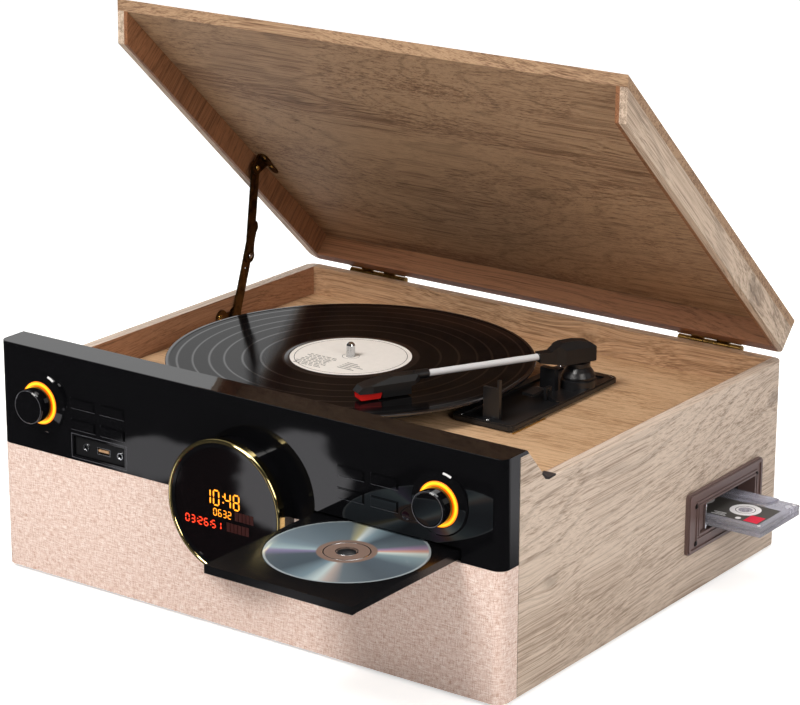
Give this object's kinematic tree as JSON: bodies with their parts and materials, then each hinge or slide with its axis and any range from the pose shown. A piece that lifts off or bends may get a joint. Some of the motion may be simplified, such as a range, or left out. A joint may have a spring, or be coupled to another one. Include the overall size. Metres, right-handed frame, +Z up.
{
  "type": "stereo music centre",
  "caption": "Wooden table-top stereo: record deck under a stayed lid, disc tray and knobs in a gloss front, cassette slot in the side.",
  "frame": {"origin": "on the surface that the feet stand on, below the middle of the part's box as pictured, with the lid open, the tray out and the cassette half in", "axes": "+X to the right seen from the front, +Y to the back, +Z up"},
  "size_m": [0.53, 0.554, 0.4386],
  "materials": {
    "amber_light": "lit light guide",
    "belt_rubber": "matt",
    "black_board": "painted fibreboard",
    "board_green": "circuit board",
    "bronze": "antique, dark",
    "brown_plastic": "satin",
    "dark_lens": "smoked window",
    "disc_silver": "mirror-backed",
    "felt": "felt",
    "foot_rubber": "matt",
    "gloss_black": "piano gloss",
    "gold": "polished",
    "oak_veneer": "veneered board, satin",
    "oak_veneer_warm": "veneered board, satin",
    "pulley_brass": "turned",
    "raw_board": "raw fibreboard",
    "record_vinyl": "grooved",
    "red_plastic": "moulded",
    "satin_black": "satin",
    "smoke_plastic": "clear smoke",
    "socket_metal": "plated",
    "speaker_cloth": "woven tweed",
    "steel": "bright"
  },
  "bodies": {
    "cabinet": {"side_panel_left": "oak_veneer", "side_panel_right": "oak_veneer", "rear_panel": "oak_veneer", "bottom_panel": "raw_board", "deck_panel": "oak_veneer_warm", "front_baffle": "black_board", "grille_cloth": "speaker_cloth", "fascia": "gloss_black", "display_housing": "gloss_black", "display_ring": "gold", "display_lens": "dark_lens", "knob_dishes": "gloss_black", "light_rings": "amber_light", "jack_panel": "satin_black", "front_sockets": "socket_metal", "cassette_bezel": "brown_plastic", "cassette_mechanism": "satin_black", "cd_loader": "satin_black", "platter_bearing": "steel", "drive_motor": "steel", "drive_belt": "belt_rubber", "circuit_boards": "board_green", "speakers": "satin_black", "terminal_panel": "satin_black", "rear_sockets": "socket_metal", "feet": "foot_rubber", "hinge_leaves_lower": "bronze", "stay_bracket_lower": "bronze", "arm_base": "satin_black"},
    "platter_unit": {"platter": "satin_black", "slipmat": "felt", "spindle": "steel", "record": "record_vinyl"},
    "pulley_unit": {"motor_pulley": "pulley_brass"},
    "arm_swing": {"arm_turret": "satin_black"},
    "arm_lift": {"arm_tube": "steel", "headshell": "satin_black", "cartridge": "red_plastic", "counterweight": "satin_black"},
    "cue_lever": {"cue_lever": "satin_black"},
    "source_knob": {"source_knob": "gloss_black"},
    "volume_knob": {"volume_knob": "gloss_black"},
    "tray_unit": {"cd_tray": "satin_black", "disc": "disc_silver"},
    "cassette": {"cassette": "smoke_plastic"},
    "eject_button": {"eject_button": "brown_plastic"},
    "lid": {"lid_top": "oak_veneer", "lid_walls": "oak_veneer", "hinge_leaves_upper": "bronze", "stay_bracket_upper": "bronze"},
    "stay_upper": {"stay_arm_upper": "bronze"},
    "stay_lower": {"stay_arm_lower": "bronze"},
    "button_1": {"button_1": "gloss_black"},
    "button_2": {"button_2": "gloss_black"},
    "button_3": {"button_3": "gloss_black"},
    "button_4": {"button_4": "gloss_black"},
    "button_5": {"button_5": "gloss_black"},
    "button_6": {"button_6": "gloss_black"},
    "button_7": {"button_7": "gloss_black"},
    "button_8": {"button_8": "gloss_black"}
  },
  "joints": [
    {"name": "platter_turn", "type": "hinge", "parent": "cabinet", "child": "platter_unit", "pos_m": [-0.08, 0.06698, 0.136], "axis": [0, 0, 1], "continuous": true},
    {"name": "pulley_turn", "type": "hinge", "parent": "cabinet", "child": "pulley_unit", "pos_m": [-0.13656, 0.13439, 0.136], "axis": [0, 0, 1], "continuous": true},
    {"name": "arm_swing", "type": "hinge", "parent": "cabinet", "child": "arm_swing", "pos_m": [0.0858, 0.15118, 0.1575], "axis": [0, 0, 1], "range_deg": [-18, 25]},
    {"name": "arm_lift", "type": "hinge", "parent": "arm_swing", "child": "arm_lift", "pos_m": [0.0858, 0.15118, 0.1703], "axis": [-0.8796, 0.4756, 0], "range_deg": [0, 2.5]},
    {"name": "cue_lever_turn", "type": "hinge", "parent": "cabinet", "child": "cue_lever", "pos_m": [0.084, 0.10818, 0.148], "axis": [-1, 0, 0], "range_deg": [0, 50]},
    {"name": "source_knob_turn", "type": "hinge", "parent": "cabinet", "child": "source_knob", "pos_m": [-0.221, -0.14902, 0.147], "axis": [0, -1, 0], "continuous": true},
    {"name": "volume_knob_turn", "type": "hinge", "parent": "cabinet", "child": "volume_knob", "pos_m": [0.1605, -0.14902, 0.147], "axis": [0, -1, 0], "continuous": true},
    {"name": "button_1_press", "type": "slide", "parent": "cabinet", "child": "button_1", "axis": [0, 1, 0], "range_m": [0, 0.0008], "stiffness_N_per_m": 300},
    {"name": "button_2_press", "type": "slide", "parent": "cabinet", "child": "button_2", "axis": [0, 1, 0], "range_m": [0, 0.0008], "stiffness_N_per_m": 300},
    {"name": "button_3_press", "type": "slide", "parent": "cabinet", "child": "button_3", "axis": [0, 1, 0], "range_m": [0, 0.0008], "stiffness_N_per_m": 300},
    {"name": "button_4_press", "type": "slide", "parent": "cabinet", "child": "button_4", "axis": [0, 1, 0], "range_m": [0, 0.0008], "stiffness_N_per_m": 300},
    {"name": "button_5_press", "type": "slide", "parent": "cabinet", "child": "button_5", "axis": [0, 1, 0], "range_m": [0, 0.0008], "stiffness_N_per_m": 300},
    {"name": "button_6_press", "type": "slide", "parent": "cabinet", "child": "button_6", "axis": [0, 1, 0], "range_m": [0, 0.0008], "stiffness_N_per_m": 300},
    {"name": "button_7_press", "type": "slide", "parent": "cabinet", "child": "button_7", "axis": [0, 1, 0], "range_m": [0, 0.0008], "stiffness_N_per_m": 300},
    {"name": "button_8_press", "type": "slide", "parent": "cabinet", "child": "button_8", "axis": [0, 1, 0], "range_m": [0, 0.0008], "stiffness_N_per_m": 300},
    {"name": "tray_slide", "type": "slide", "parent": "cabinet", "child": "tray_unit", "axis": [0, 1, 0], "range_m": [0, 0.128]},
    {"name": "cassette_slide", "type": "slide", "parent": "cabinet", "child": "cassette", "axis": [-1, 0, 0], "range_m": [0, 0.047]},
    {"name": "eject_press", "type": "slide", "parent": "cabinet", "child": "eject_button", "axis": [-1, 0, 0], "range_m": [0, 0.003], "stiffness_N_per_m": 300},
    {"name": "lid_hinge", "type": "hinge", "parent": "cabinet", "child": "lid", "pos_m": [-0.025, 0.26098, 0.16], "axis": [1, 0, 0], "range_deg": [0, 42.8]},
    {"name": "stay_upper_turn", "type": "hinge", "parent": "lid", "child": "stay_upper", "pos_m": [-0.2538, 0.15928, 0.2703], "axis": [1, 0, 0], "range_deg": [0, 35.56]},
    {"name": "stay_lower_turn", "type": "hinge", "parent": "cabinet", "child": "stay_lower", "pos_m": [-0.2538, 0.13248, 0.1443], "axis": [-1, 0, 0], "range_deg": [0, 68.48]}
  ],
  "couplings": [
    {"joint": "pulley_turn", "follows": "platter_turn", "ratio": 10.333},
    {"joint": "arm_lift", "follows": "cue_lever_turn", "ratio": 0.05},
    {"joint": "stay_upper_turn", "follows": "lid_hinge", "ratio": 0.83086},
    {"joint": "stay_lower_turn", "follows": "lid_hinge", "ratio": 1.6}
  ]
}
